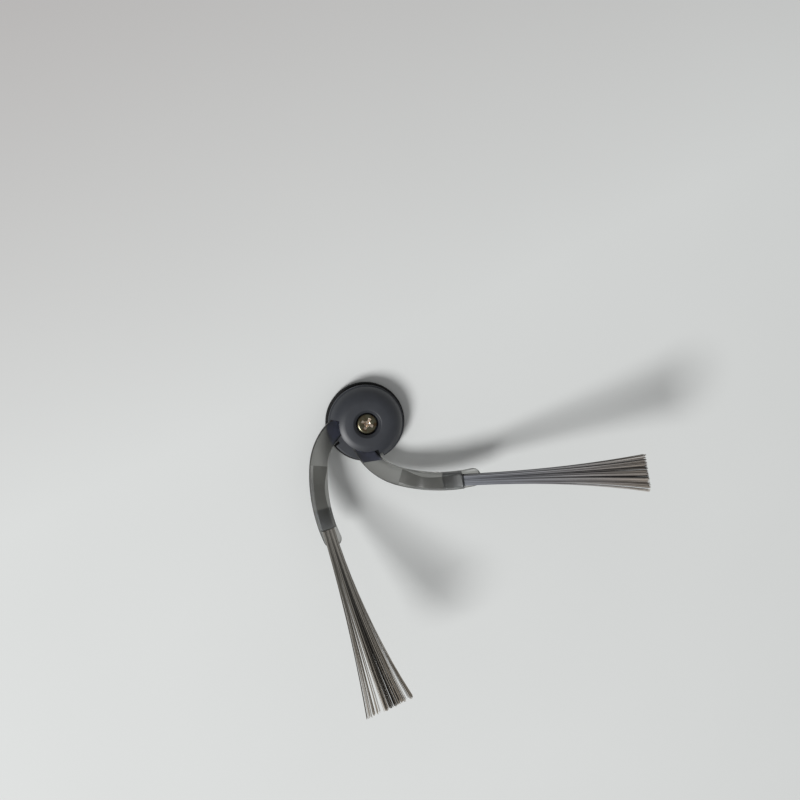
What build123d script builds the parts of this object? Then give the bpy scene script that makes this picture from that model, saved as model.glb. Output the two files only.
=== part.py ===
from build123d import *
import os
from math import atan2, cos, degrees, pi, radians, sin

# Side brush of a robot vacuum: a rigid hub core, a soft moulded body with two curved arms,
# a bristle tuft in the end of each arm and the screw that holds the hub on the drive shaft.
# Millimetres. The origin is on the spin axis in the plane of the hub's back, +Z points along the
# spin axis to the screw head, and +X points midway between the two tufts.

# Rim and dome of the hub
LIP_RADIUS = 12.5
LIP_OVERHANG = 1.0
LIP_THICKNESS = 1.5
LIP_EDGE = 0.4
GROOVE_DEPTH = 1.1
GROOVE_WIDTH = 1.5
UPPER_LIP_INSET = 0.65
UPPER_LIP_THICKNESS = 1.1
UPPER_LIP_EDGE = 0.3
DOME_FOOT_INSET = 0.35
DOME_HEIGHT = 9.2
DOME_FLAT_RADIUS = 6.8
SHOULDER_RADIUS = 5.8
SHOULDER_FLATS = 4
BACK_RECESS_DEPTH = 1.6
FOOT_WIDTH = 1.7

# Drive socket of the core
SOCKET_SIDE = 6.2
SOCKET_DEPTH = 4.2
SOCKET_WALL = 1.5
BOSS_CORNER = 1.2
WEB_THICKNESS = 2.0
PLATE_RADIUS = 8.0
PLATE_THICKNESS = 2.6
TONGUE_REACH = 12.2
TONGUE_COVER = 0.5
TONGUE_SIDE_COVER = 0.45

# Hub screw
SCREW_DIAMETER = 3.0
SCREW_LENGTH = 6.0
SCREW_POINT = 0.4
SCREW_NECK_DIAMETER = 2.4
SCREW_PLAY = 0.2
HEAD_DIAMETER = 6.4
HEAD_HEIGHT = 2.3
HEAD_EDGE = 0.6
CROSS_LENGTH = 3.6
CROSS_WIDTH = 0.9
CROSS_DEPTH = 1.3
CROSS_TURN = 24.0
NECK_CLEARANCE = 0.2
HEAD_CLEARANCE = 0.3
RECESS_CHAMFER = 0.9

# The two arms, the second one turned on from the first
ARM_SPACING = 81.0
ARM_WIDTH = 5.6
STEP_RADIUS = 19.8
STEP_ANGLE = -50.5
STEP_HEADING = -6.0
STEP_HEIGHT = 5.75
ARM_SLOPE = 0.19
ARM_CURL_RADIUS = 143.0
ROOT_BEND_RADIUS = 18.0
TIP_BEND_RADIUS = 44.0
RIBBON_LENGTH = 10.0
ROOT_LENGTH = 6.5
RIBBON_THICKNESS = 2.4
RIBBON_EDGE = 0.35
BLOCK_LENGTH = 19.2
SHOULDER_LENGTH = 7.0
CREST_HEIGHT = 5.0
MOUTH_HEIGHT = 3.9
STEP_RISE = 0.5
BLOCK_MARGIN = 1.1
BLOCK_SLANT = 1.2
MOUTH_SLANT = 0.5
SLANT_STEEPNESS = 1.2
LIP_PLATE = 1.3
LIP_LENGTH = 5.7
LOBE_ROUND = 1.9
HEEL_ROUND = 2.4

# Step in the dome that the arms grow from, and the slit beside each arm in the rim
NECK_RADIUS = 8.7
NECK_FLOOR = 4.7
NECK_LEAD = 24.0
NECK_TRAIL = 15.0
SLIT_START = 15.0
SLIT_END = 20.5
SLIT_FLOOR_RADIUS = 10.4

# Bristle tufts
PLUG_WIDTH = 3.9
PLUG_THICKNESS = 1.6
PLUG_DEPTH = 6.4
PLUG_LIFT = 2.4
MOUTH_RELIEF = 1.5
TUFT_HEADING = 15.0
TUFT_RISE = 26.0
BRISTLE_LENGTH = 56.4
BRISTLE_DIAMETER = 0.24
BRISTLE_COLUMNS = 15
BRISTLE_ROWS = 4
BRISTLE_SIDES = 4
BRISTLE_SEGMENTS = 2
BRISTLE_ROOT = 0.5
TUFT_MARGIN = 0.2
TIP_DEPTH = 3.0
TIP_SPREAD_1 = 11.0
TIP_SPREAD_2 = 14.0
TIP_LEAN_1 = 0.8
TIP_LEAN_2 = -2.0
FAN_BEND_1 = 2.4
FAN_BEND_2 = 1.6
CLUMPS_1 = 3
CLUMPS_2 = 4
CLUMPING = 0.55
LENGTH_SCATTER = 0.8

# Stations for the lofts
RIBBON_STATIONS = 4
BLOCK_STATIONS = 7
LIP_STATIONS = 2

# Heights that follow from the sizes above
SEAT_HEIGHT = SOCKET_DEPTH + WEB_THICKNESS
LIP_TOP = LIP_OVERHANG + LIP_THICKNESS
GROOVE_TOP = LIP_TOP + GROOVE_WIDTH
UPPER_LIP_TOP = GROOVE_TOP + UPPER_LIP_THICKNESS
UPPER_LIP_RADIUS = LIP_RADIUS - UPPER_LIP_INSET
RECESS_RADIUS = HEAD_DIAMETER / 2 + HEAD_CLEARANCE
BOSS_SIDE = SOCKET_SIDE + 2 * SOCKET_WALL
GOLDEN_STEP = (5 ** 0.5 - 1) / 2


def arm_point(s):
    """Plan position and heading of an arm's centre line, s mm beyond its step."""
    heading = radians(STEP_HEADING)
    bend = ROOT_BEND_RADIUS if s < 0 else TIP_BEND_RADIUS
    turned = heading + s / bend
    x = STEP_RADIUS * cos(radians(STEP_ANGLE)) + bend * (sin(turned) - sin(heading))
    y = STEP_RADIUS * sin(radians(STEP_ANGLE)) - bend * (cos(turned) - cos(heading))
    return x, y, turned


def arm_floor(s):
    """Height of the arm's underside, which rises and curls away from the hub."""
    return STEP_HEIGHT + ARM_SLOPE * s + s * s / (2 * ARM_CURL_RADIUS)


def section_plane(s, lift=0.0):
    """Upright plane across the arm, with its x axis to the outside of the bend."""
    x, y, heading = arm_point(s)
    return Plane(
        origin=(x, y, arm_floor(s) + lift),
        x_dir=(sin(heading), -cos(heading), 0),
        z_dir=(-cos(heading), -sin(heading), 0),
    )


def arm_section(s, height, margin, outer, slant, inner):
    """Cross-section of the arm, with a low margin outside the bend and a slant inside it."""
    half = ARM_WIDTH / 2
    outline = Polygon(
        (-half, RIBBON_EDGE),
        (RIBBON_EDGE - half, 0),
        (half - RIBBON_EDGE, 0),
        (half, RIBBON_EDGE),
        (half, outer),
        (half - margin, height),
        (slant - half, height),
        (-half, inner),
        align=None,
    )
    return section_plane(s) * outline


def smooth(t):
    """Ease from 0 to 1 with no slope at either end."""
    t = min(max(t, 0.0), 1.0)
    return t * t * (3 - 2 * t)


def strap_section(s, thickness):
    """Flat cross-section with eased edges."""
    edge = thickness - RIBBON_EDGE
    return arm_section(s, thickness, RIBBON_EDGE, edge, RIBBON_EDGE, edge)


def ribbon():
    """Thin strap from inside the hub to the step."""
    start = -RIBBON_LENGTH - ROOT_LENGTH
    stations = [start * (1 - i / RIBBON_STATIONS) for i in range(RIBBON_STATIONS + 1)]
    return loft([strap_section(s, RIBBON_THICKNESS) for s in stations])


def block_section(s):
    """Section of the thick block that holds the tuft: it swells from the step and sinks to the mouth."""
    swell = smooth(s / SHOULDER_LENGTH)
    sink = smooth((s - SHOULDER_LENGTH) / (BLOCK_LENGTH - SHOULDER_LENGTH))
    foot = RIBBON_THICKNESS + STEP_RISE
    height = foot + (CREST_HEIGHT - foot) * swell - (CREST_HEIGHT - MOUTH_HEIGHT) * sink
    slant = RIBBON_EDGE + (BLOCK_SLANT - RIBBON_EDGE) * swell - (BLOCK_SLANT - MOUTH_SLANT) * sink
    outer = RIBBON_THICKNESS - RIBBON_EDGE
    return arm_section(s, height, BLOCK_MARGIN, outer, slant, height - SLANT_STEEPNESS * slant)


def block():
    """Whale-backed block from the step to the mouth of the tuft socket."""
    return loft([block_section(BLOCK_LENGTH * i / BLOCK_STATIONS) for i in range(BLOCK_STATIONS + 1)])


def lip():
    """Thin rounded tongue that runs on under the bristles."""
    stations = [BLOCK_LENGTH + LIP_LENGTH * i / LIP_STATIONS for i in range(LIP_STATIONS + 1)]
    plate = loft([strap_section(s, LIP_PLATE) for s in stations])
    outline = Rectangle(ARM_WIDTH, 3 * LIP_LENGTH, align=(Align.CENTER, Align.MAX))
    for side, rounding in ((0, LOBE_ROUND), (-1, HEEL_ROUND)):
        corner = outline.vertices().group_by(Axis.Y)[-1].sort_by(Axis.X)[side]
        outline = fillet(corner, rounding)
    end = section_plane(BLOCK_LENGTH + LIP_LENGTH)
    flat = Plane(origin=end.origin, x_dir=end.x_dir, z_dir=(0, 0, 1))
    return plate & extrude(flat * outline, amount=CREST_HEIGHT, both=True)


def tuft_plane():
    """Plane of the socket's mouth, with its x axis across the tuft and its normal along the bristles."""
    x, y, _ = arm_point(BLOCK_LENGTH)
    heading = radians(TUFT_HEADING)
    rise = radians(TUFT_RISE)
    along = (cos(heading) * cos(rise), sin(heading) * cos(rise), sin(rise))
    across = (sin(heading), -cos(heading), 0)
    return Plane(origin=(x, y, arm_floor(BLOCK_LENGTH) + PLUG_LIFT), x_dir=across, z_dir=along)


def tuft_plug():
    """Welded root of a tuft, which fills the socket in the arm."""
    bottom = (Align.CENTER, Align.CENTER, Align.MAX)
    return tuft_plane() * Box(PLUG_WIDTH, PLUG_THICKNESS, PLUG_DEPTH, align=bottom)


def tuft_socket():
    """Room for the plug, open far enough for the bristles to leave the mouth freely."""
    depth = PLUG_DEPTH + MOUTH_RELIEF
    room = Box(PLUG_WIDTH, PLUG_THICKNESS, depth, align=(Align.CENTER, Align.CENTER, Align.MIN))
    return tuft_plane() * Pos(0, 0, -PLUG_DEPTH) * room


def bristle(root, tip, fan_bend):
    """One bristle in the mouth's own axes, which leaves the plug straight and bends away to its tip."""
    rings = []
    for i in range(BRISTLE_SEGMENTS + 1):
        t = i / BRISTLE_SEGMENTS
        x = root[0] + (tip[0] - root[0]) * t ** fan_bend
        y = root[1] + (tip[1] - root[1]) * t ** fan_bend
        z = root[2] + (tip[2] - root[2]) * t
        corners = [2 * pi * k / BRISTLE_SIDES for k in range(BRISTLE_SIDES)]
        radius = BRISTLE_DIAMETER / 2
        rings.append([(x + radius * cos(a), y + radius * sin(a), z) for a in corners])
    outlines = [rings[0], rings[-1]]
    for lower, upper in zip(rings, rings[1:]):
        for k in range(BRISTLE_SIDES):
            outlines.append([lower[k - 1], lower[k], upper[k], upper[k - 1]])
    return Solid(Shell([Face(Wire.make_polygon(outline)) for outline in outlines]))


def bristle_tuft(spread, lean, fan_bend, clumps):
    """Fan of bristles, leaning to one side, fused to the plug that they are welded to."""
    root_width = PLUG_WIDTH - 2 * TUFT_MARGIN
    root_depth = PLUG_THICKNESS - 2 * TUFT_MARGIN
    bristles = []
    for row in range(BRISTLE_ROWS):
        layer = row / (BRISTLE_ROWS - 1) - 0.5
        for column in range(BRISTLE_COLUMNS):
            stagger = 0.25 if row % 2 else -0.25
            t = (column + 0.5 + stagger) / BRISTLE_COLUMNS - 0.5
            wave = CLUMPING * sin(2 * pi * clumps * t + row) / (2 * pi * clumps)
            shorter = LENGTH_SCATTER * ((row * BRISTLE_COLUMNS + column) * GOLDEN_STEP % 1)
            root = (t * root_width, layer * root_depth, -BRISTLE_ROOT)
            tip = (lean + (t + wave) * spread, layer * TIP_DEPTH, BRISTLE_LENGTH - shorter)
            bristles.append(tuft_plane() * bristle(root, tip, fan_bend))
    return tuft_plug() + bristles


def hub_outside():
    """Turned outside of the hub: foot, lower lip, groove, upper lip, dome and screw recess."""
    foot_radius = LIP_RADIUS - LIP_OVERHANG
    groove_radius = LIP_RADIUS - GROOVE_DEPTH
    dome_foot = (UPPER_LIP_RADIUS - DOME_FOOT_INSET, UPPER_LIP_TOP)
    dome_edge = (DOME_FLAT_RADIUS, DOME_HEIGHT)
    dome_top = (RECESS_RADIUS + RECESS_CHAMFER, DOME_HEIGHT)
    inner_foot = foot_radius - FOOT_WIDTH
    recess_floor = BOSS_SIDE / 2 ** 0.5
    rim = Polyline(
        dome_top,
        (RECESS_RADIUS, DOME_HEIGHT - RECESS_CHAMFER),
        (RECESS_RADIUS, SEAT_HEIGHT),
        (0, SEAT_HEIGHT),
        (0, 0),
        (recess_floor, 0),
        (recess_floor, BACK_RECESS_DEPTH),
        (inner_foot, BACK_RECESS_DEPTH),
        (inner_foot, 0),
        (foot_radius, 0),
        (LIP_RADIUS, LIP_OVERHANG),
        (LIP_RADIUS, LIP_TOP - LIP_EDGE),
        (LIP_RADIUS - LIP_EDGE, LIP_TOP),
        (groove_radius, LIP_TOP),
        (groove_radius, GROOVE_TOP),
        (UPPER_LIP_RADIUS, GROOVE_TOP),
        (UPPER_LIP_RADIUS, UPPER_LIP_TOP - UPPER_LIP_EDGE),
        (UPPER_LIP_RADIUS - UPPER_LIP_EDGE, UPPER_LIP_TOP),
        dome_foot,
    )
    arc = RadiusArc(dome_foot, dome_edge, -SHOULDER_RADIUS)
    shoulder = Polyline(*[arc @ (i / SHOULDER_FLATS) for i in range(SHOULDER_FLATS + 1)])
    crown = Line(dome_edge, dome_top)
    return revolve(Plane.XZ * make_face([rim, shoulder, crown]), axis=Axis.Z)


def pie(first, last, floor):
    """Wedge between two directions about the spin axis, from a height upwards."""
    far = 4 * LIP_RADIUS
    corners = [(far * cos(radians(a)), far * sin(radians(a))) for a in (first, last)]
    return extrude(Plane.XY.offset(floor) * Polygon((0, 0), *corners, align=None), amount=2 * DOME_HEIGHT)


def outside_radius(radius):
    """Everything near the hub farther from the spin axis than a radius."""
    height = 4 * DOME_HEIGHT
    return Cylinder(2 * LIP_RADIUS, height) - Cylinder(radius, height)


def root_direction():
    """Direction in which an arm leaves the hub, about the spin axis."""
    x, y, _ = arm_point(-RIBBON_LENGTH)
    return degrees(atan2(y, x))


def arm_turns():
    """Turn of each arm from the +X direction to its own tuft."""
    return (ARM_SPACING / 2, -ARM_SPACING / 2)


def tongue():
    """Rigid tongue of the core inside an arm's root, cut off square to the hub's radius."""
    half = ARM_WIDTH / 2 - TONGUE_SIDE_COVER
    thickness = RIBBON_THICKNESS - 2 * TONGUE_COVER
    outline = Rectangle(2 * half, thickness, align=(Align.CENTER, Align.MIN))
    start = -RIBBON_LENGTH - ROOT_LENGTH
    stations = [start * (1 - i / RIBBON_STATIONS) for i in range(RIBBON_STATIONS)]
    bar = loft([section_plane(s, TONGUE_COVER) * outline for s in stations])
    reach = Box(TONGUE_REACH, 4 * LIP_RADIUS, 4 * DOME_HEIGHT, align=(Align.MIN, Align.CENTER, Align.CENTER))
    return bar & (Rot(0, 0, root_direction()) * reach)


def core_envelope():
    """Core with its socket and screw hole filled, as the soft body is moulded around it."""
    square = RectangleRounded(BOSS_SIDE, BOSS_SIDE, BOSS_CORNER)
    boss = extrude(square, amount=SEAT_HEIGHT)
    plate = Pos(0, 0, SEAT_HEIGHT) * Cylinder(
        PLATE_RADIUS, PLATE_THICKNESS, align=(Align.CENTER, Align.CENTER, Align.MAX))
    return boss + plate + [Rot(0, 0, turn) * tongue() for turn in arm_turns()]


def hub_core():
    """Rigid core: square drive socket, web under the screw head and a tongue into each arm."""
    socket = extrude(Rectangle(SOCKET_SIDE, SOCKET_SIDE), amount=SOCKET_DEPTH)
    hole = Cylinder(SCREW_NECK_DIAMETER / 2 + NECK_CLEARANCE, 4 * SEAT_HEIGHT)
    return core_envelope() - socket - hole


def soft_body():
    """Soft moulding over the core: rim, dome and both arms in one piece."""
    hub = hub_outside()
    direction = root_direction()
    first = direction - ARM_SPACING / 2 - NECK_LEAD
    last = direction + ARM_SPACING / 2 + NECK_TRAIL
    hub -= pie(first, last, NECK_FLOOR) & outside_radius(NECK_RADIUS)
    slit = pie(direction + SLIT_START, direction + SLIT_END, -DOME_HEIGHT / 2)
    slit &= outside_radius(SLIT_FLOOR_RADIUS)
    hub -= [Rot(0, 0, turn) * slit for turn in arm_turns()]
    arm = ribbon() + block() + lip()
    hub += [Rot(0, 0, turn) * arm for turn in arm_turns()]
    hub -= [Rot(0, 0, turn) * tuft_socket() for turn in arm_turns()]
    return hub - core_envelope()


def hub_screw():
    """Captive pan-head screw: cross recess, thin neck in the web, thread in the drive socket."""
    hanging = (Align.CENTER, Align.CENTER, Align.MAX)
    seat = Pos(0, 0, SEAT_HEIGHT)
    head = seat * Cylinder(HEAD_DIAMETER / 2, HEAD_HEIGHT, align=(Align.CENTER, Align.CENTER, Align.MIN))
    head = chamfer(head.edges().group_by(Axis.Z)[-1], HEAD_EDGE)
    neck = seat * Cylinder(SCREW_NECK_DIAMETER / 2, SCREW_LENGTH - SCREW_POINT, align=hanging)
    neck_length = WEB_THICKNESS + SCREW_PLAY
    thread = Cylinder(SCREW_DIAMETER / 2, SCREW_LENGTH - neck_length, align=hanging)
    thread = seat * Pos(0, 0, -neck_length) * thread
    thread = chamfer(thread.edges().group_by(Axis.Z)[0], SCREW_POINT)
    bar = Box(CROSS_LENGTH, CROSS_WIDTH, CROSS_DEPTH, align=hanging)
    cross = seat * Pos(0, 0, HEAD_HEIGHT) * Rot(0, 0, CROSS_TURN) * (bar + Rot(0, 0, 90) * bar)
    return head + neck + thread - cross


def parts():
    """Every piece of the brush by its name."""
    pieces = {
        "hub_core": hub_core(),
        "soft_body": soft_body(),
        "hub_screw": hub_screw(),
    }
    first_turn, second_turn = arm_turns()
    tuft = bristle_tuft(TIP_SPREAD_1, TIP_LEAN_1, FAN_BEND_1, CLUMPS_1)
    pieces["bristle_tuft_1"] = Rot(0, 0, first_turn) * tuft
    tuft = bristle_tuft(TIP_SPREAD_2, TIP_LEAN_2, FAN_BEND_2, CLUMPS_2)
    pieces["bristle_tuft_2"] = Rot(0, 0, second_turn) * tuft
    return pieces


def main():
    """Write each piece to its own file."""
    os.makedirs("parts", exist_ok=True)
    for name, piece in parts().items():
        export_step(piece, f"parts/{name}.step")


if __name__ == "__main__":
    main()
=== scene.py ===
"""Looks of a robot vacuum side brush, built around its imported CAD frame.

The brush lies on its back on a pale table. Every piece is in metres in the CAD's own axes: the origin
is on the spin axis at the hub's back, +Z points to the screw head, and +X midway between the tufts.
"""

import logging
import math
from dataclasses import dataclass
from enum import Enum

import bmesh
import bpy
from mathutils import Matrix, Vector


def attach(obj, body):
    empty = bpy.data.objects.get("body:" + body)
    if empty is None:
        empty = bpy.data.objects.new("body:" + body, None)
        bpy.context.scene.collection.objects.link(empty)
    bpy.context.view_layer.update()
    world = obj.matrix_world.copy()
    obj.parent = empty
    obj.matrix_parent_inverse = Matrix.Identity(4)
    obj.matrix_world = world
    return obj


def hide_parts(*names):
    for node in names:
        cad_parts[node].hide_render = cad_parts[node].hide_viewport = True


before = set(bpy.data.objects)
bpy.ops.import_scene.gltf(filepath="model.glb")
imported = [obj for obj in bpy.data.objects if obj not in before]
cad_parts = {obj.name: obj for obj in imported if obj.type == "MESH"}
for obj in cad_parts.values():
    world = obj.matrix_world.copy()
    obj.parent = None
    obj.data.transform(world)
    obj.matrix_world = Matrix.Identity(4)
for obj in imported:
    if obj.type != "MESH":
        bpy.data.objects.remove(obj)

LOG = logging.getLogger("side_brush")
MM = 0.001
BODY = "root"
# Tone of the arms: the block's darker fill, and painted shade lines along the edges.
TONE = "tone"

ARC_STEPS = 5
CORNER_SHARE = 0.48
MERGE_MM = 0.0005

GAP_FADE = 12.0
# How fast the painted shade of the streaks grows in from the root.
STREAK_RISE = 6.0
STRAY_POWER = 5.0
LAYER_KEPT = 0.75
LAYER_SCATTER = 0.12
DARKEST_STRAND = 0.8
ROOT_SINK_MM = 0.5
ROD_SIDES = 5

Point = tuple[float, float]
Corner = tuple[float, float, float]
Ring = list[tuple[Vector, float]]
# A streak of painted shade across a tuft: place, width, and depth at the root and the tip.
PaintedShadeStreak = tuple[float, float, float, float]


def linear(hex_colour: str) -> tuple[float, float, float, float]:
    """Turn an sRGB hex colour into a linear colour.

    Args:
        hex_colour: Colour such as "#33363b".

    Returns:
        Linear red, green and blue, and an alpha of 1.
    """
    channels = [int(hex_colour[i:i + 2], 16) / 255 for i in (1, 3, 5)]
    return (*[c / 12.92 if c <= 0.04045 else ((c + 0.055) / 1.055) ** 2.4 for c in channels], 1.0)


def add_node(tree: bpy.types.NodeTree, kind: str, inputs: dict | None = None, **settings) -> bpy.types.Node:
    """Add one node with its settings, values and links.

    Args:
        tree: Node tree that the node goes into.
        kind: Blender's name for the kind of node.
        inputs: Value, or output socket to link from, for each input by name or number.
        **settings: Properties of the node itself.

    Returns:
        The new node.
    """
    node = tree.nodes.new(kind)
    for name, value in settings.items():
        setattr(node, name, value)
    for key, value in (inputs or {}).items():
        if isinstance(value, bpy.types.NodeSocket):
            tree.links.new(value, node.inputs[key])
        else:
            node.inputs[key].default_value = value
    return node


def new_material(name: str) -> tuple[bpy.types.Material, bpy.types.NodeTree]:
    """Make an empty node material.

    Args:
        name: Name of the material.

    Returns:
        The material and its empty node tree.
    """
    material = bpy.data.materials.new(name)
    material.use_nodes = True
    material.node_tree.nodes.clear()
    return material, material.node_tree


def per_mm(size: float) -> float:
    """Noise scale that gives features of a size in millimetres."""
    return 1 / (size * MM)


def rounded(corners: list[Corner]) -> list[Point]:
    """Round the corners of a closed outline.

    Args:
        corners: Corner points, each with the radius of its rounding.

    Returns:
        Points of the rounded outline, the same number for each corner.
    """
    points: list[Point] = []
    for i, (x, y, radius) in enumerate(corners):
        here = Vector((x, y))
        back = Vector(corners[i - 1][:2]) - here
        ahead = Vector(corners[(i + 1) % len(corners)][:2]) - here
        half = back.angle(ahead) / 2
        reach = min(radius / math.tan(half), CORNER_SHARE * back.length, CORNER_SHARE * ahead.length)
        start = here + back.normalized() * reach
        end = here + ahead.normalized() * reach
        for step in range(ARC_STEPS + 1):
            t = step / ARC_STEPS
            bend = here * (2 * t * (1 - t)) + start * (1 - t) ** 2 + end * t * t
            points.append((bend.x, bend.y))
    return points


def turned_point(radius: float, angle: float, height: float) -> Vector:
    """Point at a radius and an angle about the spin axis."""
    return Vector((radius * math.cos(angle), radius * math.sin(angle), height))


def ease(t: float) -> float:
    """Ease from 0 to 1 with no slope at either end."""
    t = min(max(t, 0.0), 1.0)
    return t * t * (3 - 2 * t)


def ring_mesh(name: str, rings: list[Ring], closed: bool, smooth_deg: float) -> bpy.types.Object:
    """Skin a row of closed rings that all have the same number of points.

    Args:
        name: Name of the object.
        rings: Rings of points in millimetres, each with its tone.
        closed: Whether the last ring joins the first; otherwise both ends are capped.
        smooth_deg: Edges sharper than this stay sharp.

    Returns:
        The new object, at the origin and in metres.
    """
    count = len(rings[0])
    mesh = bpy.data.meshes.new(name)
    shape = bmesh.new()
    tone = shape.verts.layers.float.new(TONE)
    grid = [[shape.verts.new(point * MM) for point, _ in ring] for ring in rings]
    for row, ring in zip(grid, rings):
        for vertex, (_, value) in zip(row, ring):
            vertex[tone] = value
    spans = len(rings) if closed else len(rings) - 1
    for i in range(spans):
        here, ahead = grid[i], grid[(i + 1) % len(rings)]
        for j in range(count):
            k = (j + 1) % count
            shape.faces.new((here[j], here[k], ahead[k], ahead[j]))
    if not closed:
        shape.faces.new(grid[0])
        shape.faces.new(grid[-1])
    bmesh.ops.remove_doubles(shape, verts=shape.verts, dist=MERGE_MM * MM)
    bmesh.ops.dissolve_degenerate(shape, edges=shape.edges, dist=MERGE_MM * MM)
    bmesh.ops.recalc_face_normals(shape, faces=shape.faces)
    shape.to_mesh(mesh)
    shape.free()
    mesh.shade_smooth()
    mesh.set_sharp_from_angle(angle=math.radians(smooth_deg))
    piece = bpy.data.objects.new(name, mesh)
    bpy.context.scene.collection.objects.link(piece)
    return piece


@dataclass(frozen=True)
class CharcoalRubber:
    """Soft moulded TPE of the hub: dark blue-grey and satin, with a fine mould grain; painted shade makes its
    lower lip and groove near black, where it is also rougher.
    """

    colour: str = "#282a2f"
    cloud: str = "#34373d"
    # Painted shade: near-black colour of the lower lip and groove, below the band.
    rim: str = "#090a0b"
    painted_shade_band_mm: tuple[float, float] = (3.4, 4.2)
    roughness: float = 0.42
    rim_roughness: float = 0.85
    grain_mm: float = 0.35
    cloud_mm: float = 5.0

    def material(self) -> bpy.types.Material:
        """Build the hub's material."""
        material, tree = new_material("charcoal_moulded_rubber")
        place = add_node(tree, "ShaderNodeTexCoord").outputs["Object"]
        cloud = add_node(tree, "ShaderNodeTexNoise", {"Vector": place, "Scale": per_mm(self.cloud_mm)})
        body = add_node(tree, "ShaderNodeMix", {
            "Factor": cloud.outputs["Fac"], 6: linear(self.colour), 7: linear(self.cloud)}, data_type="RGBA")
        height = add_node(tree, "ShaderNodeSeparateXYZ", {"Vector": place}).outputs["Z"]
        # Below this band of heights the colour turns to painted shade and the surface rougher.
        above_painted_shade = add_node(tree, "ShaderNodeMapRange", {
            "Value": height, "From Min": self.painted_shade_band_mm[0] * MM, "From Max": self.painted_shade_band_mm[1] * MM})
        colour = add_node(tree, "ShaderNodeMix", {
            "Factor": above_painted_shade.outputs["Result"], 6: linear(self.rim), 7: body.outputs[2]}, data_type="RGBA")
        gloss = add_node(tree, "ShaderNodeMapRange", {
            "Value": cloud.outputs["Fac"], "To Min": self.roughness - 0.05, "To Max": self.roughness + 0.06})
        dull = add_node(tree, "ShaderNodeMix", {
            "Factor": above_painted_shade.outputs["Result"], 2: self.rim_roughness, 3: gloss.outputs["Result"]})
        grain = add_node(tree, "ShaderNodeTexNoise", {
            "Vector": place, "Scale": per_mm(self.grain_mm), "Detail": 3.0})
        bump = add_node(tree, "ShaderNodeBump", {
            "Height": grain.outputs["Fac"], "Strength": 0.12, "Distance": 0.02 * MM})
        shader = add_node(tree, "ShaderNodeBsdfPrincipled", {
            "Base Color": colour.outputs[2], "Roughness": dull.outputs[0], "IOR": 1.5,
            "Normal": bump.outputs["Normal"]})
        add_node(tree, "ShaderNodeOutputMaterial", {"Surface": shader.outputs["BSDF"]})
        return material


@dataclass(frozen=True)
class SmokyElastomer:
    """Clear grey TPU of the arms: it darkens with thickness and in the block, and painted shade draws thin dark
    lines at its edges.
    """

    tint: str = "#dcdcd9"
    shade: str = "#5f5e5a"
    # Painted shade: colour of the thin dark lines along the arms' edges.
    edge: str = "#2a2b2b"
    painted_edge_line_tone: float = 0.5
    edge_transmission: float = 0.15
    edge_roughness: float = 0.9
    smoke: tuple[float, float, float] = (0.10, 0.10, 0.085)
    density_per_mm: float = 0.21
    roughness: float = 0.34
    specular: float = 0.12
    ripple_mm: float = 2.5

    def material(self) -> bpy.types.Material:
        """Build the arms' material, whose volume soaks up light along the way through."""
        material, tree = new_material("smoky_clear_elastomer")
        place = add_node(tree, "ShaderNodeTexCoord").outputs["Object"]
        ripple = add_node(tree, "ShaderNodeTexNoise", {"Vector": place, "Scale": per_mm(self.ripple_mm)})
        gloss = add_node(tree, "ShaderNodeMapRange", {
            "Value": ripple.outputs["Fac"], "To Min": self.roughness - 0.05, "To Max": self.roughness + 0.05})
        bump = add_node(tree, "ShaderNodeBump", {
            "Height": ripple.outputs["Fac"], "Strength": 0.1, "Distance": 0.05 * MM})
        tone = add_node(tree, "ShaderNodeAttribute", attribute_name=TONE).outputs["Fac"]
        fill = add_node(tree, "ShaderNodeMapRange", {"Value": tone, "From Max": self.painted_edge_line_tone})
        # Tones above the edge-line tone draw painted shade lines: darker, duller and less clear.
        line = add_node(tree, "ShaderNodeMapRange", {"Value": tone, "From Min": self.painted_edge_line_tone})
        clear = add_node(tree, "ShaderNodeMapRange", {
            "Value": tone, "From Min": self.painted_edge_line_tone, "To Min": 1.0, "To Max": self.edge_transmission})
        dull = add_node(tree, "ShaderNodeMix", {
            "Factor": line.outputs["Result"], 2: gloss.outputs["Result"], 3: self.edge_roughness})
        body = add_node(tree, "ShaderNodeMix", {
            "Factor": fill.outputs["Result"], 6: linear(self.tint), 7: linear(self.shade)}, data_type="RGBA")
        colour = add_node(tree, "ShaderNodeMix", {
            "Factor": line.outputs["Result"], 6: body.outputs[2], 7: linear(self.edge)}, data_type="RGBA")
        shader = add_node(tree, "ShaderNodeBsdfPrincipled", {
            "Base Color": colour.outputs[2], "Roughness": dull.outputs[0], "IOR": 1.45,
            "Transmission Weight": clear.outputs["Result"], "Specular IOR Level": self.specular,
            "Normal": bump.outputs["Normal"]})
        soak = add_node(tree, "ShaderNodeVolumeAbsorption", {
            "Color": (*self.smoke, 1.0), "Density": self.density_per_mm / MM})
        add_node(tree, "ShaderNodeOutputMaterial", {
            "Surface": shader.outputs["BSDF"], "Volume": soak.outputs["Volume"]})
        return material


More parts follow.
